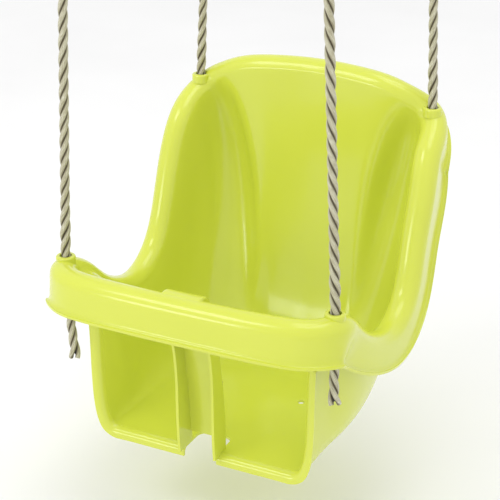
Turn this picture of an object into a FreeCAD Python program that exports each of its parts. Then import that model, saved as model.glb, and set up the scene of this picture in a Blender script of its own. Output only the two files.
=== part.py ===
"""Toddler bucket swing: a one-piece moulded seat on four ropes.

Millimetres, +Z up, the child faces -Y and +X is to the child's left.
The origin is the hanging point: the middle of the line through the two front rings' wires.
The seat hangs below it, on four parallel ropes of equal length, so it stays level as it swings.
"""
import FreeCAD, Part
import math
import os
import Sketcher

from FreeCAD import Placement, Rotation, Vector

DIMENSIONS = {
    "wall": 3.0,                # thickness of the moulding
    "bar_hole_x": 155.0,        # rope holes in the front bar, either side of the middle
    "back_hole_x": 144.0,       # rope holes in the top corners of the backrest
    "back_hole_y": 284.0,       # how far the back holes are behind the front ones
    "back_hole_rise": 124.0,    # how far they are above them
    "floor_top": -197.0,        # inside of the seat's floor, below the top of the bar
    "rim_radius": 15.0,         # outside radius of the rim's rounded top
    "skirt_flare": 4.0,         # degrees
    "lip_out": 4.0,             # outward lip at the skirt's edge
    "boss_radius": 10.5,
    "boss_height": 3.0,
    "hole_radius": 6.5,
    "opening_top": -62.0,       # lower edge of the bar's inner side, over the leg openings
    "opening_front": 13.0,      # the side walls and the floor begin here
    "post_half_width": 22.5,
    "notch_top": -185.0,        # foot of the post's web, above the notch in the floor
    "drain_radius": 4.0,
    "drain_x": 52.0,
    "drain_y": 150.0,
    "rope_radius": 5.0,
    "rope_drop": 430.0,         # height of a ring's wire above the pivot in the rope's hole
    "rope_lean": 2.6,           # degrees, each rope leans inwards as it rises
    "pivot_rise": 5.0,          # pivot above the top of the rim
    "left_tail_end": -102.0,    # cut end of a front rope, below its pivot
    "right_tail_end": -121.0,
    "back_tail_end": -78.0,
    "knot_radius": 8.5,
    "knot_middle": -31.0,       # below the pivot
    "eye_radius": 14.5,         # middle of the rope where it turns round the thimble
    "thimble_bore": 7.5,
    "thimble_flange": 12.5,
    "thimble_width": 13.0,
    "ferrule_length": 30.0,
    "ferrule_wall": 1.6,
    "ring_wire": 3.0,
    "ring_radius": 25.0,        # middle of the wire
}

doc = FreeCAD.newDocument("BucketSwing")
sheet = doc.addObject("Spreadsheet::Sheet", "Dimensions")
for row, (alias, value) in enumerate(DIMENSIONS.items(), start=1):
    sheet.set("A%d" % row, alias)
    sheet.set("B%d" % row, str(value))
    sheet.setAlias("B%d" % row, alias)
doc.recompute()


def size(alias):
    """A driving dimension, read back from the spreadsheet."""
    return float(sheet.get(alias))


WALL = size("wall")
EYE_PLAY = 0.3       # between a rope and the middle plane of its eye
GROOVE_PLAY = 0.05   # between a rope and its thimble's groove or its ferrule
RING_PLAY = 1.6      # between the middles of a ring's wire and its thimble's bore: the wire curves up
TIP_GAP = 0.5        # between a rope's tipping end and its tail
EYE_OFFSET = size("rope_radius") + EYE_PLAY      # the rope's middle is this far behind its ring's wire
SEAT_ORIGIN = Vector(0, EYE_OFFSET, -size("rope_drop") - size("pivot_rise"))


PARTS = []           # the finished pieces, one for each file


def add(kind, label, placement=None, **sizes):
    """A document object whose sizes are expressions on the spreadsheet's cells."""
    made = doc.addObject(kind, label)
    made.Label = label
    made.Placement = placement or Placement()
    for name, expression in sizes.items():
        made.setExpression(name, expression)
    return made


def join(kind, label, pieces, placement=None):
    """A boolean of document objects: a fuse of all of them, or a cut of the rest from the first."""
    made = doc.addObject(kind, label)
    made.Label = label
    if kind == "Part::MultiFuse":
        made.Shapes = pieces
    else:
        made.Base, made.Tool = pieces
    made.Placement = placement or Placement()
    return made


def free_form(label, shape, placement=None):
    """A document object for a shape that no primitive or sketch describes."""
    made = doc.addObject("Part::Feature", label)
    made.Label = label
    made.Shape = shape
    made.Placement = placement or Placement()
    return made


# ---------------------------------------------------------------- the moulded seat
# One half of the rim, from the middle of the front bar round to the middle of the back:
# top of the rim x, y, z; skirt height; where the wall meets the floor x, y; how far the wall
# steps in under the rim; how far it runs off the rim; how far off the floor.
RIM = [
    ((0, -33, 0), 40, (0, -14), 0, 70, 12),
    ((60, -32.5, 0), 40.2, (44, -14), 0, 70, 14),
    ((110, -29, 0), 41, (78, -10), 1, 66, 18),
    ((142, -19, 0), 42, (97, 2), 9, 48, 22),
    ((158, 1, -1), 43.5, (109, 20), 30, 32, 25),
    ((160.5, 28, -12), 45, (111, 48), 30, 28, 27),
    ((158, 60, -38), 41, (110, 78), 22, 28, 30),
    ((157, 98, -61), 38, (109, 102), 12, 30, 33),
    ((157, 140, -70), 38, (106, 124), 9, 32, 37),
    ((158, 174, -54), 45, (102, 144), 6, 38, 44),
    ((157.5, 199, -4), 55, (94, 162), 3, 48, 58),
    ((158, 221, 55), 66, (84, 176), 1, 60, 68),
    ((155, 247, 98), 57, (73, 184), 0, 70, 76),
    ((144, 285, 125), 34, (57, 188), 0, 82, 82),
    ((104, 291, 149), 32, (36, 194), 0, 136, 91),
    ((52, 293, 158.5), 29, (17, 196), 0, 150, 93),
    ((0, 293.5, 161), 28, (0, 197), 0, 151, 94),
]
AROUND = 44          # stations over half of the rim
OVERLAP = 3          # stations past the middle, so that the two halves meet smoothly
ON_WALL = 15
ON_TOP = 9
ON_SKIRT = 6
BOSS_DEPTH = 7.0      # how far a boss goes down from the rim's top
BOSS_ROUND = 2.0
HOLE_DEPTH = 25.0     # how far a rope hole is drilled below the pivot
POST_ROUND = 2.5
NOTCH_ROUND = 10.0
LIP_RADIUS = 8.5      # rolled edge of the leg openings, its outer face
LIP_SINK = 0.25       # the rolled edge starts this far inside the sheet's faces
LIP_ROOT = 2.0        # and this far behind the sheet's edge
LIP_TAIL = 3.0        # straight end of the rolled edge
LIP_ARC = 6           # points on the roll's quarter turn
LIP_STEP = 7          # millimetres between the lip's sections
SEWING = 0.01         # widest gap closed between neighbouring faces


def mirror(p):
    return Vector(-p.x, p.y, p.z)


def curve_through(points, knots):
    curve = Part.BSplineCurve()
    curve.interpolate(Points=points, Parameters=knots)
    return curve


def loops():
    """Curves through the rim's stations, three times round: rim's top, floor's edge, sizes."""
    tops = [Vector(*row[0]) for row in RIM]
    feet = [Vector(row[2][0], row[2][1], row[3]) for row in RIM]
    sizes = [Vector(row[1], row[4], row[5]) for row in RIM]
    tops += [mirror(p) for p in tops[-2:0:-1]]
    feet += [mirror(p) for p in feet[-2:0:-1]]
    sizes += sizes[-2:0:-1]
    steps = [a.distanceToPoint(b) for a, b in zip(tops, tops[1:] + tops[:1])]
    knots = [-sum(steps)]
    for step in steps * 3:
        knots.append(knots[-1] + step)
    curves = [curve_through(points * 3 + points[:1], knots) for points in (tops, feet, sizes)]
    return curves, sum(steps) / 2


(RIM_TOP, FLOOR_EDGE, RIM_SIZES), REAR_MIDDLE = loops()


def bezier(a, b, c, d, f):
    g = 1 - f
    return a * g ** 3 + b * (3 * g * g * f) + c * (3 * g * f * f) + d * f ** 3


def profile(way):
    """The seat's inner face in one station: floor edge, wall, rounded rim, skirt and lip."""
    top = RIM_TOP.value(way)
    foot = FLOOR_EDGE.value(way)
    step_in = foot.z
    foot.z = size("floor_top")
    skirt, off_rim, off_floor = RIM_SIZES.value(way)
    along = RIM_TOP.tangent(way)[0]
    cornering = min(max((abs(top.x) - 100) / 55, 0), 1)
    cornering = cornering * cornering * (3 - 2 * cornering)
    ahead = 125 - top.y
    if ahead < 0:
        ahead *= 1 - 0.6 * cornering
    inward = Vector(-top.x * (0.3 + 0.7 * cornering), ahead, 0)
    inward = inward - along * inward.dot(along)
    inward.normalize()
    up = along.cross(inward)
    r = size("rim_radius")
    middle = top - up * r
    edge = middle + inward * r
    outwards = Vector(foot.x, foot.y - 90, 0)
    outwards.normalize()
    start = foot + outwards * off_floor
    end = edge - up * off_rim + inward * step_in
    points = [bezier(foot, start, end, edge, n / ON_WALL) for n in range(ON_WALL)]
    for n in range(ON_TOP):
        angle = math.pi * n / ON_TOP
        points.append(middle + inward * (r * math.cos(angle)) + up * (r * math.sin(angle)))
    flare = math.tan(math.radians(size("skirt_flare")))
    drop = skirt - r
    for n in range(ON_SKIRT):
        down = drop * n / ON_SKIRT
        points.append(middle - inward * (r + down * flare) - up * down)
    reach = r + drop * flare
    points.append(middle - inward * (reach + 0.4 * size("lip_out")) - up * (drop - 0.6))
    points.append(middle - inward * (reach + size("lip_out")) - up * drop)
    return points


def offset_profile(way):
    """The sheet's other face in that station, one wall thickness away along the normal."""
    here = profile(way)
    before = profile(way - 0.5)
    after = profile(way + 0.5)
    points = []
    for n, p in enumerate(here):
        across = here[min(n + 1, len(here) - 1)] - here[max(n - 1, 0)]
        normal = (after[n] - before[n]).cross(across)
        if way % REAR_MIDDLE == 0:
            normal.x = 0
        normal.normalize()
        if n == 0:
            normal = Vector(0, 0, -1)
        points.append(p + normal * WALL)
    return points


def surface_through(grid, down, across):
    """A bicubic surface through rows of points, at the given parameters."""
    rows = [curve_through(points, list(across)) for points in grid]
    poles = zip(*(row.getPoles() for row in rows))
    columns = [curve_through(list(line), list(down)) for line in poles]
    surface = Part.BSplineSurface()
    surface.buildFromPolesMultsKnots(
        [list(line) for line in zip(*(column.getPoles() for column in columns))],
        columns[0].getMultiplicities(), rows[0].getMultiplicities(),
        columns[0].getKnots(), rows[0].getKnots(), False, False, 3, 3)
    return surface


def sewn(faces):
    """A closed solid from faces that meet."""
    shell = Part.makeShell(faces)
    shell.sewShape(SEWING)
    solid = Part.makeSolid(shell)
    if solid.Volume < 0:
        solid.reverse()
    return solid


def half_surface(station):
    """A smooth surface through the stations of one half of the seat."""
    step = REAR_MIDDLE / AROUND
    ways = [n * step for n in range(-OVERLAP, AROUND + OVERLAP + 1)]
    sections = [station(way) for way in ways]
    side = sections[OVERLAP + AROUND // 2]
    along = [0.0]
    for a, b in zip(side, side[1:]):
        along.append(along[-1] + a.distanceToPoint(b))
    surface = surface_through(sections, ways, along)
    surface.segment(0, REAR_MIDDLE, along[0], along[-1])
    return surface


def moulded_sheet():
    """The seat before its openings are cut: two halves sewn along the middle, and the floor."""
    faces = []
    edges = []
    for station in (profile, offset_profile):
        surface = half_surface(station)
        first, last, low, high = surface.bounds()
        face = surface.toShape()
        foot = surface.vIso(low).toShape()
        rim = surface.vIso(high).toShape()
        edges.append((foot, rim))
        faces.append(face)
    faces.append(Part.makeRuledSurface(edges[0][1], edges[1][1]))
    both = faces + [f.mirror(Vector(), Vector(1, 0, 0)) for f in faces]
    for foot, _rim in edges:
        outline = Part.Wire([foot, foot.mirror(Vector(), Vector(1, 0, 0))])
        both.append(Part.Face(outline))
    return sewn(both)


def prism(points, plane, low, high):
    """A straight block. plane "yz" takes (y, z) corners and runs in X, "xz" takes (x, z) and runs in Y."""
    if plane == "yz":
        corners = [Vector(low, a, b) for a, b in points]
        way = Vector(high - low, 0, 0)
    else:
        corners = [Vector(a, low, b) for a, b in points]
        way = Vector(0, high - low, 0)
    return Part.Face(Part.makePolygon(corners + corners[:1])).extrude(way)


def with_mirror(shape):
    return shape.fuse(shape.mirror(Vector(), Vector(1, 0, 0)))


def both_sides(x, y, z):
    return [Vector(x, y, z), Vector(-x, y, z)]


FRONT_HOLES = both_sides(size("bar_hole_x"), 0, 0)
BACK_HOLES = both_sides(size("back_hole_x"), size("back_hole_y"), size("back_hole_rise"))


def leg_openings():
    """What is cut from the front: two openings from the bar's inner side down to the floor."""
    wide = 150
    floor = size("floor_top") - 2 * WALL
    outline = [(-wide, size("opening_top")), (wide, size("opening_top")), (wide, floor), (-wide, floor)]
    return prism(outline, "xz", -60, size("opening_front"))


def smooth_edge(line, x):
    """A curve through (y, z) points at one x."""
    curve = Part.BSplineCurve()
    curve.interpolate([Vector(x, y, z) for y, z in line])
    return curve.toShape()


def smooth_block(one_side, other_side, low, high):
    """A block along X between two smooth lines of (y, z) points."""
    edges = [smooth_edge(one_side, low), smooth_edge(other_side, low)]
    for n in (0, -1):
        edges.append(Part.makeLine(Vector(low, *one_side[n]), Vector(low, *other_side[n])))
    outline = Part.Wire(Part.sortEdges(edges)[0])
    return Part.Face(outline).extrude(Vector(high - low, 0, 0))


def post():
    """The middle post between the legs: a channel open to the front, leaning up into the bar."""
    half = size("post_half_width")
    low = size("floor_top") - WALL
    back = [(24, low), (22, -150), (13, -90), (3, -45), (-4, -20), (-9, -8), (-17, -1), (-27, 0.8), (-34, -1)]
    inner = [(21, low), (19, -150), (10, -90), (0, -46), (-7, -22), (-12, -11), (-19, -5), (-28, -3), (-34, -4)]
    front = [(-2, low), (-5, -150), (-10, -75), (-18, -46), (-30, -6)]
    web = smooth_block(back, inner, -half, half)
    fin = smooth_block(back, front, half - WALL, half)
    shape = with_mirror(fin).fuse(web).removeSplitter()
    corner = smooth_edge(back, half)
    rounded = [edge for edge in shape.Edges if runs_along(edge, corner)]
    return shape.makeFillet(POST_ROUND, rounded)


def runs_along(edge, line):
    """Whether an edge, or its mirror image, lies on a line."""
    middle = edge.valueAt((edge.FirstParameter + edge.LastParameter) / 2)
    return Part.Vertex(Vector(abs(middle.x), middle.y, middle.z)).distToShape(line)[0] < 0.01


def opening_edge():
    """Where the front plane meets one half of the sheet's inner face, from the post up the side."""
    half = half_surface(profile).toShape()
    slices = half.slice(Vector(0, 1, 0), size("opening_front"))
    lowest = min(slices, key=lambda wire: wire.BoundBox.ZMin)
    points = [p for p in lowest.discretize(Distance=1.0) if p.z < size("opening_top") - 2]
    points.sort(key=lambda p: math.atan2(p.z + 120, p.x))
    inner = size("post_half_width") - WALL
    corner = points[0].x
    flat = [Vector(inner + (corner - inner) * f, points[0].y, size("floor_top")) for f in (0, 0.3, 0.6, 0.85)]
    return flat + points[::LIP_STEP]


def rolled_lip():
    """The edge of a leg opening: the floor rolls down and the side wall rolls outwards."""
    edge = opening_edge()
    out = []
    for n, p in enumerate(edge):
        way = edge[min(n + 1, len(edge) - 1)] - edge[max(n - 1, 0)]
        out.append(Vector(way.z, 0, -way.x).normalize())
    faces = []
    borders = []
    for radius, start in ((LIP_RADIUS - LIP_SINK, LIP_SINK), (LIP_RADIUS - WALL + LIP_SINK, WALL - LIP_SINK)):
        grid = []
        for p, side in zip(edge, out):
            row = [p + side * start + Vector(0, LIP_ROOT, 0)]
            for n in range(LIP_ARC + 1):
                angle = math.pi / 2 * n / LIP_ARC
                across = side * (start + radius * (1 - math.cos(angle)))
                row.append(p + across - Vector(0, radius * math.sin(angle), 0))
            row += [row[-1] + side * (LIP_TAIL * f) for f in (0.5, 1.0)]
            grid.append(row)
        surface = surface_through(grid, range(len(grid)), range(len(grid[0])))
        first, last, low, high = surface.bounds()
        faces.append(surface.toShape())
        borders.append([surface.uIso(first), surface.vIso(low), surface.uIso(last), surface.vIso(high)])
    for one, other in zip(*borders):
        faces.append(Part.makeRuledSurface(one.toShape(), other.toShape()))
    return sewn(faces)


def bosses():
    """Raised rings round the rope holes."""
    rings = []
    for at in FRONT_HOLES + BACK_HOLES:
        tall = BOSS_DEPTH + size("boss_height")
        ring = Part.makeCylinder(size("boss_radius"), tall, at - Vector(0, 0, BOSS_DEPTH))
        top_edge = [edge for edge in ring.Edges if edge.BoundBox.ZMin > at.z]
        rings.append(ring.makeFillet(BOSS_ROUND, top_edge))
    return rings


def channel_cuts():
    """The bar's inner side opens into the post's channel, and the floor is notched at its foot."""
    half = size("post_half_width") - WALL
    floor = size("floor_top") - 4 * WALL
    throat = prism([(-21, -64), (6, -64), (6, -10), (-21, -18)], "yz", -half, half)
    notch = Part.makeBox(2 * half, 65, size("notch_top") - floor, Vector(-half, -20, floor))
    rear = [edge for edge in notch.Edges if edge.BoundBox.YMin > 44 and edge.BoundBox.ZLength > 1]
    return throat, notch.makeFillet(NOTCH_ROUND, rear)


def moulding():
    """The whole moulding, before its round holes are drilled."""
    throat, notch = channel_cuts()
    shape = moulded_sheet().cut([leg_openings(), throat])
    shape = shape.fuse([post(), with_mirror(rolled_lip())])
    for ring in bosses():
        shape = shape.fuse(ring)
    shape = shape.cut(notch)
    if len(shape.Solids) != 1:
        raise ValueError("the moulding came apart")
    return shape.Solids[0]


def make_seat():
    """The moulding with its four rope holes and two drain holes."""
    drills = []
    for n, at in enumerate(FRONT_HOLES + BACK_HOLES):
        place = Placement(at - Vector(0, 0, HOLE_DEPTH), Rotation())
        drill = add("Part::Cylinder", "rope_hole_%d" % n, place, Radius="Dimensions.hole_radius")
        drill.Height = HOLE_DEPTH + 15
        drills.append(drill)
    for n, at in enumerate(both_sides(size("drain_x"), size("drain_y"), size("floor_top") - 2 * WALL)):
        drill = add("Part::Cylinder", "drain_hole_%d" % n, Placement(at, Rotation()),
                    Radius="Dimensions.drain_radius", Height="4 * Dimensions.wall")
        drills.append(drill)
    body = free_form("moulding", moulding())
    holes = join("Part::MultiFuse", "seat_holes", drills)
    PARTS.append(join("Part::Cut", "seat_shell", [body, holes], Placement(SEAT_ORIGIN, Rotation())))


# ---------------------------------------------------------------- ropes and their ends
LEAN = math.radians(size("rope_lean"))
LENGTH = size("rope_drop") / math.cos(LEAN)      # pivot to ring wire, along the rope
ROPE = size("rope_radius")
THIMBLE_MIDDLE = Vector(0, -EYE_OFFSET, LENGTH - size("thimble_bore") + size("ring_wire") + RING_PLAY)
EYE_FOOT = THIMBLE_MIDDLE.z - 38.0               # where the eye's two legs part
FERRULE_TOP = EYE_FOOT - 6.0                     # below the arcs that begin the parting
FERRULE_LOW = FERRULE_TOP - size("ferrule_length")


def rounded_path(points, radii):
    """Straight runs through the points, joined by tangent arcs.

    radii is for the inner points; 0 is a point on a straight run.
    """
    edges = []
    start = points[0]
    for n, radius in enumerate(radii, start=1):
        if radius == 0:
            edges.append(Part.LineSegment(start, points[n]).toShape())
            start = points[n]
            continue
        back = (points[n - 1] - points[n]).normalize()
        ahead = (points[n + 1] - points[n]).normalize()
        half = back.getAngle(ahead) / 2
        reach = radius / math.tan(half)
        bisector = (back + ahead).normalize()
        middle = points[n] + bisector * (radius / math.sin(half) - radius)
        first = points[n] + back * reach
        last = points[n] + ahead * reach
        if start.distanceToPoint(first) > 0.01:
            edges.append(Part.LineSegment(start, first).toShape())
        edges.append(Part.Arc(first, middle, last).toShape())
        start = last
    edges.append(Part.LineSegment(start, points[-1]).toShape())
    return Part.Wire(edges)


def rope_along(path):
    start = path.Edges[0]
    at = start.valueAt(start.FirstParameter)
    way = start.tangentAt(start.FirstParameter)
    section = Part.Wire(Part.makeCircle(ROPE, at, way))
    tube = path.makePipeShell([section], True, True)
    expected = math.pi * ROPE ** 2 * path.Length
    if abs(tube.Volume / expected - 1) > 0.01:
        raise ValueError("the rope's tube has the wrong volume")
    return tube


def eye_path():
    """Up the rope, round the thimble and back down to the tail beside it."""
    y, z = THIMBLE_MIDDLE.y, THIMBLE_MIDDLE.z
    round_thimble = size("eye_radius")
    tall = z - EYE_FOOT
    apart = EYE_OFFSET
    to_middle = math.hypot(tall, apart)
    slope = math.asin(round_thimble / to_middle) - math.atan2(apart, tall)
    top = tall + round_thimble
    spread = apart + top * math.tan(slope)
    points = [
        Vector(0, 0, 0),
        Vector(0, 0, EYE_FOOT - 60),
        Vector(0, 0, EYE_FOOT),
        Vector(0, y + spread, z + round_thimble),
        Vector(0, y - spread, z + round_thimble),
        Vector(0, 2 * y, EYE_FOOT),
        Vector(0, 2 * y, FERRULE_LOW - 7),
    ]
    return rounded_path(points, [0, 40, round_thimble, round_thimble, 40])


def rope_shape():
    """The load-bearing length of a rope, with a ball at its lower end where it tips in the hole."""
    return rope_along(eye_path()).fuse(Part.makeSphere(ROPE))


def origin_plane(body, role):
    """One of a body's own origin planes."""
    for plane in body.Origin.OriginFeatures:
        if plane.Role == role:
            return plane
    raise ValueError(role)


def add_sketch(body, name, role):
    made = body.newObject("Sketcher::SketchObject", name)
    made.AttachmentSupport = (origin_plane(body, role), "")
    made.MapMode = "FlatFace"
    return made


def dimension(sketch, name, constraint, expression):
    """A named dimensional constraint bound to the spreadsheet."""
    index = sketch.addConstraint(constraint)
    sketch.renameConstraint(index, name)
    sketch.setExpression("Constraints." + name, expression)


def thimble(name, placement):
    """A grooved ring that keeps the eye open: its section, turned about the sketch's X axis."""
    body = doc.addObject("PartDesign::Body", name)
    section = add_sketch(body, name + "_section", "XY_Plane")
    bore, flange = size("thimble_bore"), size("thimble_flange")
    half, groove = size("thimble_width") / 2, ROPE + GROOVE_PLAY
    lip = math.sqrt(groove ** 2 - (size("eye_radius") - flange) ** 2)
    corners = [(lip, flange), (half, flange), (half, bore), (-half, bore), (-half, flange), (-lip, flange)]
    points = [Vector(x, y, 0) for x, y in corners]
    for one, other in zip(points, points[1:]):
        section.addGeometry(Part.LineSegment(one, other))
    for n in range(4):
        section.addConstraint(Sketcher.Constraint("Coincident", n, 2, n + 1, 1))
    circle = Part.Circle(Vector(0, size("eye_radius"), 0), Vector(0, 0, 1), groove)
    side = math.asin((size("eye_radius") - flange) / groove)
    section.addGeometry(Part.ArcOfCircle(circle, math.pi + side, 2 * math.pi - side))
    section.addConstraint(Sketcher.Constraint("Coincident", 4, 2, 5, 1))
    section.addConstraint(Sketcher.Constraint("Coincident", 0, 1, 5, 2))
    for n in (0, 4):
        section.addConstraint(Sketcher.Constraint("Horizontal", n))
    for n in (1, 3):
        section.addConstraint(Sketcher.Constraint("Vertical", n))
    section.addConstraint(Sketcher.Constraint("PointOnObject", 5, 3, -2))
    section.addConstraint(Sketcher.Constraint("Symmetric", 1, 2, 2, 2, -2))
    section.addConstraint(Sketcher.Constraint("Equal", 1, 3))
    dimension(section, "bore", Sketcher.Constraint("DistanceY", -1, 1, 2, 1, bore), "Dimensions.thimble_bore")
    dimension(section, "flange", Sketcher.Constraint("DistanceY", -1, 1, 0, 1, flange),
              "Dimensions.thimble_flange")
    dimension(section, "width", Sketcher.Constraint("DistanceX", 2, 2, 2, 1, 2 * half),
              "Dimensions.thimble_width")
    dimension(section, "groove_middle", Sketcher.Constraint("DistanceY", -1, 1, 5, 3, size("eye_radius")),
              "Dimensions.eye_radius")
    dimension(section, "groove", Sketcher.Constraint("Radius", 5, groove),
              "Dimensions.rope_radius + %s" % GROOVE_PLAY)
    turned = body.newObject("PartDesign::Revolution", name + "_turned")
    turned.Profile = section
    turned.ReferenceAxis = (section, ["H_Axis"])
    turned.Angle = 360
    body.Placement = placement
    return body


def ferrule(name, placement):
    """The crimped sleeve round the rope and its tail: a pad of its section."""
    body = doc.addObject("PartDesign::Body", name)
    section = add_sketch(body, name + "_section", "XY_Plane")
    outer = ROPE + size("ferrule_wall")
    apart = 2 * EYE_OFFSET
    axis = Vector(0, 0, 1)
    front = Part.Circle(Vector(0, 0, 0), axis, outer)
    back = Part.Circle(Vector(0, -apart, 0), axis, outer)
    section.addGeometry(Part.ArcOfCircle(front, 0, math.pi))
    section.addGeometry(Part.LineSegment(Vector(-outer, 0, 0), Vector(-outer, -apart, 0)))
    section.addGeometry(Part.ArcOfCircle(back, math.pi, 2 * math.pi))
    section.addGeometry(Part.LineSegment(Vector(outer, -apart, 0), Vector(outer, 0, 0)))
    bore = ROPE + GROOVE_PLAY
    section.addGeometry(Part.Circle(Vector(0, 0, 0), axis, bore))
    section.addGeometry(Part.Circle(Vector(0, -apart, 0), axis, bore))
    for arc, end, line, start in ((0, 2, 1, 1), (2, 1, 1, 2), (2, 2, 3, 1), (0, 1, 3, 2)):
        section.addConstraint(Sketcher.Constraint("Tangent", arc, end, line, start))
    section.addConstraint(Sketcher.Constraint("Coincident", 0, 3, -1, 1))
    section.addConstraint(Sketcher.Constraint("Coincident", 4, 3, -1, 1))
    section.addConstraint(Sketcher.Constraint("Coincident", 5, 3, 2, 3))
    section.addConstraint(Sketcher.Constraint("PointOnObject", 2, 3, -2))
    section.addConstraint(Sketcher.Constraint("Equal", 0, 2))
    section.addConstraint(Sketcher.Constraint("Equal", 4, 5))
    dimension(section, "outer", Sketcher.Constraint("Radius", 0, outer),
              "Dimensions.rope_radius + Dimensions.ferrule_wall")
    dimension(section, "bore", Sketcher.Constraint("Radius", 4, bore),
              "Dimensions.rope_radius + %s" % GROOVE_PLAY)
    dimension(section, "apart", Sketcher.Constraint("DistanceY", 2, 3, 0, 3, apart),
              "2 * (Dimensions.rope_radius + %s)" % EYE_PLAY)
    pad = body.newObject("PartDesign::Pad", name + "_pad")
    pad.Profile = section
    pad.setExpression("Length", "Dimensions.ferrule_length")
    body.Placement = placement
    return body


def ring(name, wire):
    """A welded ring, standing across the swing. wire is the middle of its wire at the lowest point."""
    middle = Placement(wire + Vector(0, 0, size("ring_radius")), Rotation(Vector(1, 0, 0), 90))
    return add("Part::Torus", name, middle, Radius1="Dimensions.ring_radius", Radius2="Dimensions.ring_wire")


def knot(name, placement, tail_end):
    """Below the pivot: the rope through the hole, the stopper knot and the cut tail."""
    cell = "Dimensions." + tail_end
    rope = add("Part::Cylinder", name + "_rope", None, Radius="Dimensions.rope_radius",
               Height="-Dimensions.pivot_rise - %s - %s" % (TIP_GAP, cell))
    rope.setExpression("Placement.Base.z", cell)
    ball = add("Part::Ellipsoid", name + "_ball", None, Radius1="1.3 * Dimensions.knot_radius",
               Radius2="Dimensions.knot_radius", Radius3="Dimensions.knot_radius")
    ball.setExpression("Placement.Base.z", "Dimensions.knot_middle")
    return join("Part::MultiFuse", name, [rope, ball], placement)


def hanging(hole):
    """Where a rope's own frame sits: its origin at the hole's pivot, leaning towards the middle."""
    at = SEAT_ORIGIN + hole + Vector(0, 0, size("pivot_rise"))
    return Placement(at, Rotation(Vector(0, 1, 0), -math.copysign(size("rope_lean"), hole.x)))


def make_suspension(side, hole, tail_end):
    """One of the four ropes with the pieces on it."""
    hung = hanging(hole)
    across = Placement(THIMBLE_MIDDLE, Rotation())
    PARTS.append(free_form("rope_" + side, rope_shape(), hung))
    PARTS.append(thimble("thimble_" + side, hung * across))
    PARTS.append(ferrule("ferrule_" + side, hung * Placement(Vector(0, 0, FERRULE_LOW), Rotation())))
    PARTS.append(knot("knot_" + side, Placement(hung.Base, Rotation()), tail_end))
    PARTS.append(ring("ring_" + side, hung.multVec(Vector(0, -EYE_OFFSET, LENGTH))))


make_seat()
make_suspension("front_left", FRONT_HOLES[0], "left_tail_end")
make_suspension("front_right", FRONT_HOLES[1], "right_tail_end")
make_suspension("back_left", BACK_HOLES[0], "back_tail_end")
make_suspension("back_right", BACK_HOLES[1], "back_tail_end")
doc.recompute()

for piece in PARTS:
    failed = "Invalid" in piece.State or "Error" in piece.State
    if failed or piece.Shape.isNull() or not piece.Shape.isValid():
        raise RuntimeError(piece.Label + " is not a sound solid")
os.makedirs("parts", exist_ok=True)
for piece in PARTS:
    piece.Shape.exportStep("parts/" + piece.Label + ".step")
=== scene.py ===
"""Toddler bucket swing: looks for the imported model. Metres, in the CAD's frame."""
import math

import bpy
import numpy as np
from mathutils import Matrix, Vector


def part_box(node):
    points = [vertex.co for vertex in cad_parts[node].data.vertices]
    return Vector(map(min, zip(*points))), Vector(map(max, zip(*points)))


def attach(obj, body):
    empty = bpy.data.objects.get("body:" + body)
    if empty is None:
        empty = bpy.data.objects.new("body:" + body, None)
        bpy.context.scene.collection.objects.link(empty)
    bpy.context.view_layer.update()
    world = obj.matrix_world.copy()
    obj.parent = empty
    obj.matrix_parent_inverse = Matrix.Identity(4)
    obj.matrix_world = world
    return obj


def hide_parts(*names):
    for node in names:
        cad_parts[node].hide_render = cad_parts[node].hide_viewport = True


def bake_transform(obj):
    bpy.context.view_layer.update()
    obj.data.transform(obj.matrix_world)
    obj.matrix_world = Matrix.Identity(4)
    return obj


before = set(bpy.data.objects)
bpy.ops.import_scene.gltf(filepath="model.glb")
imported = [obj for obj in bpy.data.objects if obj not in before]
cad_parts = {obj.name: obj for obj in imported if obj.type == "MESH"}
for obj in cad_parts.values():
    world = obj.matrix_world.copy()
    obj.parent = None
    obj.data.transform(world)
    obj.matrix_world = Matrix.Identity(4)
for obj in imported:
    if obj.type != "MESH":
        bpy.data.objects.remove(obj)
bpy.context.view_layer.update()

MM = 0.001

# ---------------------------------------------------------------- places, read from the frame
# The body that carries each corner's rope, and the corner's side: +1 is the child's left.
CORNERS = {
    "front_left": ("front_ropes", 1),
    "front_right": ("front_ropes", -1),
    "back_left": ("back_ropes", 1),
    "back_right": ("back_ropes", -1),
}
PIVOT_ABOVE_KNOT_NODE = 5.5 * MM
PIVOT_ABOVE_RIM = 5 * MM


def pivot(corner):
    """Where the rope tips in its hole."""
    low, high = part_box("knot_" + corner)
    return Vector(((low.x + high.x) / 2, (low.y + high.y) / 2, high.z + PIVOT_ABOVE_KNOT_NODE))


PIVOTS = {corner: pivot(corner) for corner in CORNERS}
SEAT = (PIVOTS["front_left"] + PIVOTS["front_right"]) / 2 - Vector((0, 0, PIVOT_ABOVE_RIM))
SEAT_LOW, SEAT_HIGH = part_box("seat_shell")

# ---------------------------------------------------------------- camera
CAMERA_FROM_SEAT = Vector((0.6674, -1.2082, 0.6399))
CAMERA_AZIMUTH = math.radians(26.6)
CAMERA_ELEVATION = math.radians(23.54)
SENSOR_WIDTH = 36
LENS = 108


def make_camera():
    """Right of the child's front and above, on the seat's middle, with a long lens."""
    data = bpy.data.cameras.new("camera")
    data.sensor_width = SENSOR_WIDTH
    data.lens = LENS
    camera = bpy.data.objects.new("camera", data)
    bpy.context.collection.objects.link(camera)
    camera.location = SEAT + CAMERA_FROM_SEAT
    camera.rotation_euler = (math.pi / 2 - CAMERA_ELEVATION, 0, CAMERA_AZIMUTH)
    bpy.context.scene.camera = camera


make_camera()


# ---------------------------------------------------------------- small node helpers
def new_material(name):
    made = bpy.data.materials.new(name)
    made.use_nodes = True
    tree = made.node_tree
    return made, tree, tree.nodes["Principled BSDF"]


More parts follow.
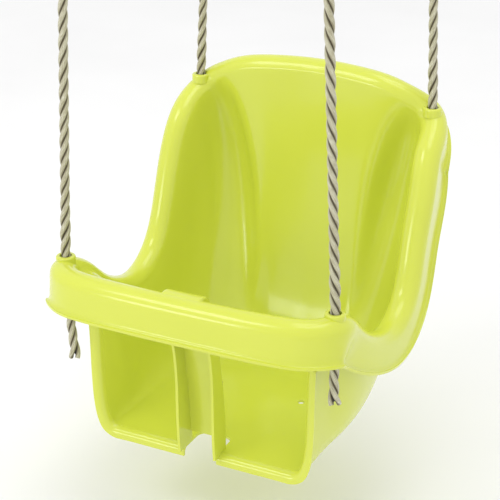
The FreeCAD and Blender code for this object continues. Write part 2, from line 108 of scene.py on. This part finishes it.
def ramp(tree, source, stops):
    """A colour for each value of source: stops are (position, colour) pairs."""
    node = tree.nodes.new("ShaderNodeValToRGB")
    elements = node.color_ramp.elements
    while len(elements) < len(stops):
        elements.new(0.5)
    for element, (at, colour) in zip(elements, stops):
        element.position = at
        element.color = (*colour, 1)
    tree.links.new(source, node.inputs["Fac"])
    return node.outputs["Color"]


def noise(tree, scale, detail=3.0, roughness=0.5, vector=None):
    """Noise over the object's own coordinates, or over another vector."""
    node = tree.nodes.new("ShaderNodeTexNoise")
    node.inputs["Scale"].default_value = scale
    node.inputs["Detail"].default_value = detail
    node.inputs["Roughness"].default_value = roughness
    if vector is None:
        vector = tree.nodes.new("ShaderNodeTexCoord").outputs["Object"]
    tree.links.new(vector, node.inputs["Vector"])
    return node.outputs["Fac"]


def bump(tree, shader, height, strength, distance, before=None):
    """Bump on the shader's normal, on top of an earlier bump node if one is given."""
    node = tree.nodes.new("ShaderNodeBump")
    node.inputs["Strength"].default_value = strength
    node.inputs["Distance"].default_value = distance
    tree.links.new(height, node.inputs["Height"])
    if before is not None:
        tree.links.new(before.outputs["Normal"], node.inputs["Normal"])
    tree.links.new(node.outputs["Normal"], shader.inputs["Normal"])
    return node


def set_range(tree, source, low, high, from_low=0.0):
    """Source's range, from_low to 1, stretched to low..high."""
    node = tree.nodes.new("ShaderNodeMapRange")
    node.inputs["From Min"].default_value = from_low
    node.inputs["To Min"].default_value = low
    node.inputs["To Max"].default_value = high
    tree.links.new(source, node.inputs["Value"])
    return node.outputs["Result"]


def math_node(tree, operation, *values):
    """One maths step. Each value is a number or the output that feeds it."""
    node = tree.nodes.new("ShaderNodeMath")
    node.operation = operation
    for socket, value in zip(node.inputs, values):
        if isinstance(value, (int, float)):
            socket.default_value = value
        else:
            tree.links.new(value, socket)
    return node.outputs[0]


def multiply(tree, one, other, factor=1.0):
    """Two colours multiplied; with a smaller factor, more of the first one stays."""
    node = tree.nodes.new("ShaderNodeMix")
    node.data_type = "RGBA"
    node.blend_type = "MULTIPLY"
    node.inputs["Factor"].default_value = factor
    tree.links.new(one, node.inputs["A"])
    tree.links.new(other, node.inputs["B"])
    return node.outputs["Result"]


# ---------------------------------------------------------------- materials
def lime_plastic():
    """Glossy moulded polyethylene: slightly translucent, with faint orange peel and handling marks."""
    made, tree, shader = new_material("lime_plastic")
    tone = ramp(tree, noise(tree, 7, 2), [
        (0.3, (0.63, 0.69, 0.07)),
        (0.7, (0.66, 0.715, 0.08)),
    ])
    tree.links.new(tone, shader.inputs["Base Color"])
    shader.inputs["Subsurface Weight"].default_value = 0.15
    shader.inputs["Subsurface Radius"].default_value = (0.9, 1.0, 0.25)
    shader.inputs["Subsurface Scale"].default_value = 0.008
    shader.inputs["IOR"].default_value = 1.5
    shader.inputs["Coat Weight"].default_value = 0.3
    shader.inputs["Coat Roughness"].default_value = 0.1
    scuffs = noise(tree, 30, 4, 0.55)
    tree.links.new(set_range(tree, scuffs, 0.17, 0.24), shader.inputs["Roughness"])
    bump(tree, shader, noise(tree, 420, 2), 0.03, 0.3 * MM)
    return made


YARNS = 9                        # yarns round a strand
YARN_SLANT = 0.5                 # turns round the strand for each unit of the texture's v
STREAKS_PER_UV = (22, 1.8, 1)


def strand_waves(tree, uv):
    """The slanted yarns, and a wave that is 1 on the strand's outermost line and -1 inside the rope, which
    sets the painted groove shade.
    """
    split = tree.nodes.new("ShaderNodeSeparateXYZ")
    tree.links.new(uv, split.inputs["Vector"])
    u, v = split.outputs["X"], split.outputs["Y"]
    slanted = math_node(tree, "MULTIPLY_ADD", v, YARN_SLANT, u)
    yarns = math_node(tree, "SINE", math_node(tree, "MULTIPLY", slanted, 2 * math.pi * YARNS))
    outermost = math_node(tree, "COSINE", math_node(tree, "MULTIPLY", u, 2 * math.pi))
    return yarns, outermost


def fibre_streaks(tree, uv):
    """Long fine streaks along a strand."""
    stretched = tree.nodes.new("ShaderNodeMapping")
    stretched.inputs["Scale"].default_value = STREAKS_PER_UV
    tree.links.new(uv, stretched.inputs["Vector"])
    return noise(tree, 1, 5, 0.7, stretched.outputs["Vector"])


def rope_fibre():
    """Twisted polypropylene with a hemp look: fine yarns along each strand, and painted shade that darkens
    the grooves between strands.

    The texture's u goes once round a strand, from its outermost line, and v goes along it.
    """
    made, tree, shader = new_material("rope_fibre")
    uv = tree.nodes.new("ShaderNodeUVMap").outputs["UV"]
    yarns, outermost = strand_waves(tree, uv)
    streaks = fibre_streaks(tree, uv)
    tint = ramp(tree, streaks, [
        (0.28, (0.34, 0.29, 0.18)),
        (0.48, (0.60, 0.57, 0.41)),
        (0.7, (0.93, 0.94, 0.80)),
    ])
    yarn_shade = ramp(tree, set_range(tree, yarns, 0, 1, -1), [(0.0, (0.75, 0.73, 0.66)), (0.6, (1, 1, 1))])
    patch_shade = ramp(tree, noise(tree, 45, 2), [(0.35, (0.8, 0.78, 0.7)), (0.6, (1, 1, 1))])
    # painted shade: darkest in the grooves between strands, full brightness on each strand's outermost line
    painted_groove_shade = ramp(tree, set_range(tree, outermost, 0, 1, -0.55), [
        (0.0, (0.03, 0.022, 0.014)),
        (0.34, (0.26, 0.22, 0.15)),
        (0.7, (0.9, 0.9, 0.86)),
        (0.95, (1, 1, 1)),
    ])
    colour = multiply(tree, tint, yarn_shade)
    colour = multiply(tree, colour, patch_shade, 0.7)
    colour = multiply(tree, colour, painted_groove_shade)
    tree.links.new(colour, shader.inputs["Base Color"])
    shader.inputs["Roughness"].default_value = 0.5
    shader.inputs["Sheen Weight"].default_value = 0.2
    shader.inputs["Sheen Roughness"].default_value = 0.4
    first = bump(tree, shader, streaks, 0.7, 0.6 * MM)
    bump(tree, shader, yarns, 0.5, 0.3 * MM, first)
    return made


def metal(name, colour, low, high, scale):
    """Plated or drawn metal, with roughness that varies from low to high over the grain."""
    made, tree, shader = new_material(name)
    shader.inputs["Metallic"].default_value = 1.0
    grain = noise(tree, scale, 5, 0.6)
    darker = tuple(0.8 * channel for channel in colour)
    tree.links.new(ramp(tree, grain, [(0.3, darker), (0.7, colour)]), shader.inputs["Base Color"])
    tree.links.new(set_range(tree, grain, low, high), shader.inputs["Roughness"])
    bump(tree, shader, grain, 0.12, 0.3 * MM)
    return made


FLUTE = 5 * MM                   # from one of the press's flutes to the next


def crimped(made):
    """The press's flutes: shallow bands across the sleeve."""
    tree = made.node_tree
    shader = tree.nodes["Principled BSDF"]
    grain = shader.inputs["Normal"].links[0].from_node
    place = tree.nodes.new("ShaderNodeSeparateXYZ")
    tree.links.new(tree.nodes.new("ShaderNodeTexCoord").outputs["Object"], place.inputs["Vector"])
    bands = math_node(tree, "SINE", math_node(tree, "MULTIPLY", place.outputs["Z"], 2 * math.pi / FLUTE))
    bump(tree, shader, bands, 0.6, 0.6 * MM, grain)
    return made


def black_nylon():
    """Moulded nylon, almost black."""
    made, tree, shader = new_material("black_nylon")
    grain = noise(tree, 260, 4)
    tone = ramp(tree, grain, [(0.3, (0.018, 0.018, 0.02)), (0.7, (0.034, 0.034, 0.036))])
    tree.links.new(tone, shader.inputs["Base Color"])
    tree.links.new(set_range(tree, grain, 0.35, 0.55), shader.inputs["Roughness"])
    bump(tree, shader, grain, 0.15, 0.3 * MM)
    return made


def pale_floor():
    """Matt paper, almost white."""
    made, tree, shader = new_material("pale_floor")
    tone = ramp(tree, noise(tree, 3, 2), [(0.3, (0.9, 0.9, 0.9)), (0.7, (0.93, 0.93, 0.93))])
    tree.links.new(tone, shader.inputs["Base Color"])
    shader.inputs["Roughness"].default_value = 0.9
    return made


LIME = lime_plastic()
FIBRE = rope_fibre()
STEEL = metal("zinc_steel", (0.62, 0.63, 0.64), 0.24, 0.42, 90)
ALUMINIUM = crimped(metal("crimped_aluminium", (0.72, 0.72, 0.73), 0.3, 0.5, 150))
NYLON = black_nylon()

# ---------------------------------------------------------------- sizes of the ropes
STRANDS = 3
STRAND_RADIUS = 2.55 * MM
STRAND_OFF = 2.6 * MM            # from the rope's middle to a strand's middle
STRAND_FLATTEN = 1.06            # a strand's width over its thickness
LAY = 52 * MM                    # length of one turn of a strand
TEXTURE_PER_TURN = 4             # the texture's v over one turn
AROUND = 14                      # points round a strand
STEP = 1.4 * MM                  # from one ring of points to the next

LEAN = math.radians(2.6)
ROPE_DROP = 430 * MM
LENGTH = ROPE_DROP / math.cos(LEAN)
ROPE_START = -9 * MM             # in the hole, below the pivot
THIMBLE_Z = LENGTH - 2.9 * MM
EYE_OFFSET = 5.3 * MM            # from the eye's middle line to either leg
EYE_FOOT = THIMBLE_Z - 38 * MM
EYE_SPREAD = 18.6 * MM           # half width of the route's corners over the thimble
EYE_RISE = 14.5 * MM             # height of those corners over the thimble's middle
STRAIGHT_TO = EYE_FOOT - 60 * MM  # up to here the rope is straight
FERRULE_LOW = EYE_FOOT - 36 * MM
LEG_PAST_FERRULE = 7 * MM        # the short leg comes out of the ferrule by this much

LOOSENED_AT = 34 * MM            # along the rope: the lay is loosest here, 25 mm above the pivot
LOOSENED_OVER = 20 * MM
LOOSENED_BY = 0.16

TAIL_END = {
    "front_left": -102 * MM,
    "front_right": -121 * MM,
    "back_left": -78 * MM,
    "back_right": -78 * MM,
}
TAIL_SWAY = {"front_left": 1 * MM, "front_right": 6 * MM, "back_left": 1 * MM, "back_right": 1 * MM}
SPLAY = 2.4 * MM                 # how far a cut end's strands open
SPLAY_OVER = 20 * MM
KNOT_START = -6 * MM             # in the hole, inside the rope above it
KNOT_STRAIGHT_TO = -13 * MM
KNOT_MIDDLE = -31 * MM
KNOT_SIZE = 3.5 * MM
KNOT_WIDTHS = (0.55, 0.85, 1.3)  # the knot's spread across, front to back and up, for its size
KNOT_REACH = 1.75                # the knot's line is drawn for parameters up to this, both ways
KNOT_POINTS = 11
KNOT_LOW = KNOT_MIDDLE - 16 * MM
SWAY_HALFWAY = 0.35              # how much of its sway the tail has half way down


# ---------------------------------------------------------------- lines of the ropes
def rope_route():
    """The rope in its own frame: out of the hole, up to the ferrule, round the thimble and back."""
    y = -EYE_OFFSET
    return [
        Vector((0, 0, ROPE_START)),
        Vector((0, 0, STRAIGHT_TO)),
        Vector((0, 0, EYE_FOOT)),
        Vector((0, y + EYE_SPREAD, THIMBLE_Z + EYE_RISE)),
        Vector((0, y - EYE_SPREAD, THIMBLE_Z + EYE_RISE)),
        Vector((0, 2 * y, EYE_FOOT)),
        Vector((0, 2 * y, FERRULE_LOW - LEG_PAST_FERRULE)),
    ]


def knot_route(end, side, sway):
    """Down through the hole, once through its own loop, and out as a short tail that hangs."""
    across, deep, tall = KNOT_WIDTHS
    points = [Vector((0, 0, KNOT_START)), Vector((0, 0, KNOT_STRAIGHT_TO))]
    for u in np.linspace(-KNOT_REACH, KNOT_REACH, KNOT_POINTS):
        x = u ** 3 - 3 * u
        y = u ** 4 - 4 * u ** 2 + 2
        z = u ** 5 / 5 - 2 * u
        turn = Vector((side * y * across, x * deep, -z * tall))
        points.append(turn * KNOT_SIZE + Vector((0, 0, KNOT_MIDDLE)))
    points.append(Vector((0, 0, KNOT_LOW)))
    points.append(Vector((SWAY_HALFWAY * sway, 0, (KNOT_LOW + end) / 2)))
    points.append(Vector((sway, 0, end)))
    return points


def nurbs_points(points):
    """The NURBS line that these points control, as closely spaced points."""
    data = bpy.data.curves.new("route", "CURVE")
    data.dimensions = "3D"
    data.resolution_u = 24
    spline = data.splines.new("NURBS")
    spline.points.add(len(points) - 1)
    for point, at in zip(spline.points, points):
        point.co = (*at, 1)
    spline.order_u = 3
    spline.use_endpoint_u = True
    holder = bpy.data.objects.new("route", data)
    bpy.context.collection.objects.link(holder)
    bpy.context.view_layer.update()
    mesh = bpy.data.meshes.new_from_object(holder)
    line = np.array([v.co for v in mesh.vertices])
    bpy.data.objects.remove(holder)
    bpy.data.meshes.remove(mesh)
    return line


def smooth_line(points):
    """Evenly spaced points along the line that these points control, and how far along each is."""
    line = nurbs_points(points)
    steps = np.linalg.norm(np.diff(line, axis=0), axis=1)
    along = np.concatenate([[0], np.cumsum(steps)])
    even = np.linspace(0, along[-1], int(along[-1] / STEP) + 1)
    return np.stack([np.interp(even, along, line[:, k]) for k in range(3)], axis=1), even


def turned(line, corner, lean):
    """From the rope's own frame to the row frame: leaning to the middle about its pivot."""
    side = CORNERS[corner][1]
    turn = Matrix.Rotation(-side * lean, 3, "Y")
    return line @ np.array(turn).T + np.array(PIVOTS[corner])


# ---------------------------------------------------------------- meshes of the ropes
def unit(rows):
    return rows / np.linalg.norm(rows, axis=1)[:, None]


def frames_along(line):
    """Two directions square to the line at each point, carried along without twisting."""
    tangents = unit(np.gradient(line, axis=0))
    side = np.array([1.0, 0, 0])
    sides = []
    for tangent in tangents:
        side = side - tangent * side.dot(tangent)
        side /= np.linalg.norm(side)
        sides.append(side)
    sides = np.array(sides)
    return sides, np.cross(tangents, sides)


def strand_rings(line, outward, swell, open_by):
    """One strand's points: a ring for each point of the line, starting at its outermost side."""
    middle = line + outward * (STRAND_OFF * swell + open_by)[:, None]
    way = unit(np.gradient(middle, axis=0))
    first = unit(outward - way * np.sum(outward * way, axis=1)[:, None])
    second = np.cross(way, first)
    angle = 2 * math.pi * np.arange(AROUND) / AROUND
    thick = first[:, None, :] * np.cos(angle)[None, :, None]
    wide = second[:, None, :] * np.sin(angle)[None, :, None] * STRAND_FLATTEN
    radius = STRAND_RADIUS * swell ** 0.5
    return middle[:, None, :] + radius[:, None, None] * (thick + wide)


def end_places():
    """Texture places for a cut end: near u = 0.5, where the painted groove shade makes the strand darkest.
    """
    turns = [k / AROUND for k in range(AROUND)]
    return [(0.5 + 0.1 * math.cos(2 * math.pi * turn), 0.3 * turn) for turn in turns]


def strand_faces(base, along):
    """Faces over one strand's rings, closed at both ends, with a texture place for each corner."""
    faces, places = [], []
    v = along / LAY * TEXTURE_PER_TURN
    for n in range(len(along) - 1):
        for k in range(AROUND):
            a = base + n * AROUND + k
            b = base + n * AROUND + (k + 1) % AROUND
            u0, u1 = k / AROUND, (k + 1) / AROUND
            faces.append((a, b, b + AROUND, a + AROUND))
            places += [(u0, v[n]), (u1, v[n]), (u1, v[n + 1]), (u0, v[n + 1])]
    for n in (0, len(along) - 1):
        ring = [base + n * AROUND + k for k in range(AROUND)]
        faces.append(ring if n else ring[::-1])
        places += end_places()
    return faces, places


def twisted_rope(name, line, along, hand, swell=1.0, open_by=0.0):
    """A mesh of three strands laid round the line. hand is +1 or -1 for the direction of the lay."""
    sides, ups = frames_along(line)
    swell = np.broadcast_to(swell, along.shape)
    open_by = np.broadcast_to(open_by, along.shape)
    verts, faces, places = [], [], []
    for strand in range(STRANDS):
        turn = 2 * math.pi * (strand / STRANDS + hand * along / LAY)
        outward = sides * np.cos(turn)[:, None] + ups * np.sin(turn)[:, None]
        new_faces, new_places = strand_faces(len(verts), along)
        verts += strand_rings(line, outward, swell, open_by).reshape(-1, 3).tolist()
        faces += new_faces
        places += new_places
    mesh = bpy.data.meshes.new(name)
    mesh.from_pydata(verts, [], faces)
    layer = mesh.uv_layers.new(name="UVMap")
    layer.data.foreach_set("uv", np.array(places, np.float32).ravel())
    mesh.shade_smooth()
    mesh.materials.append(FIBRE)
    made = bpy.data.objects.new(name, mesh)
    bpy.context.collection.objects.link(made)
    return made


def lay_hand(corner):
    """The front rope on the child's left is laid the other way."""
    return -1 if corner == "front_left" else 1


def make_rope(corner):
    """From the hole up, round the thimble and back into the ferrule. It bends where it tips."""
    line, along = smooth_line(rope_route())
    loosened = 1 + LOOSENED_BY * np.exp(-((along - LOOSENED_AT) / LOOSENED_OVER) ** 2)
    placed = turned(line, corner, LEAN)
    rope = twisted_rope("laid_rope_" + corner, placed, along, lay_hand(corner), loosened)
    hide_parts("rope_" + corner)
    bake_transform(rope)


def make_knot(corner):
    """The same rope below the hole: a stopper knot and a cut tail, which ride on the seat."""
    line, along = smooth_line(knot_route(TAIL_END[corner], CORNERS[corner][1], TAIL_SWAY[corner]))
    placed = turned(line, corner, 0)
    from_end = along[-1] - along
    splay = SPLAY * np.clip(1 - from_end / SPLAY_OVER, 0, 1) ** 2
    knot = twisted_rope("stopper_knot_" + corner, placed, along, lay_hand(corner), open_by=splay)
    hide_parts("knot_" + corner)
    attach(knot, "seat")


for corner in CORNERS:
    make_rope(corner)
    make_knot(corner)


# ---------------------------------------------------------------- CAD nodes that stay
def paint(node, material):
    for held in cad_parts[node].material_slots:
        held.material = material


paint("seat_shell", LIME)
for corner in CORNERS:
    paint("thimble_" + corner, NYLON)
    paint("ferrule_" + corner, ALUMINIUM)
    paint("ring_" + corner, STEEL)

# ---------------------------------------------------------------- floor and light
FLOOR_HALF = 8.0
FLOOR_BELOW_SEAT = 0.09
LIGHT_SHAPE = 0.7                # a light's height over its width
WORLD_STRENGTH = 0.95


def make_floor():
    """A wide plane a little below the seat."""
    half = FLOOR_HALF
    low = SEAT_LOW.z - FLOOR_BELOW_SEAT
    mesh = bpy.data.meshes.new("floor")
    corners = [(-half, -half, low), (half, -half, low), (half, half, low), (-half, half, low)]
    mesh.from_pydata(corners, [], [(0, 1, 2, 3)])
    mesh.materials.append(pale_floor())
    floor = bpy.data.objects.new("floor", mesh)
    bpy.context.collection.objects.link(floor)


def area_light(name, at, aim, width, power):
    """A rectangle of light. Its place and what it points at are given from the seat."""
    data = bpy.data.lights.new(name, "AREA")
    data.shape = "RECTANGLE"
    data.size = width
    data.size_y = width * LIGHT_SHAPE
    data.energy = power
    light = bpy.data.objects.new(name, data)
    bpy.context.collection.objects.link(light)
    light.location = SEAT + Vector(at)
    way = Vector(aim) - Vector(at)
    light.rotation_euler = way.to_track_quat("-Z", "Y").to_euler()


def make_light():
    """White surroundings, a key, a low soft box that the backrest reflects, and a light from above."""
    area_light("key", (-1.0, -1.3, 2.0), (0, 0.1, 0), 1.0, 8.5)
    area_light("soft_box", (-1.15, -2.3, 0.45), (0, 0.2, 0), 0.8, 7)
    area_light("top", (0.3, 0.2, 2.2), (0, 0.1, 0), 1.6, 10)
    world = bpy.data.worlds.new("studio")
    world.use_nodes = True
    back = world.node_tree.nodes["Background"]
    back.inputs["Color"].default_value = (1, 1, 1, 1)
    back.inputs["Strength"].default_value = WORLD_STRENGTH
    bpy.context.scene.world = world
    bpy.context.scene.view_settings.view_transform = "Standard"


make_floor()
make_light()
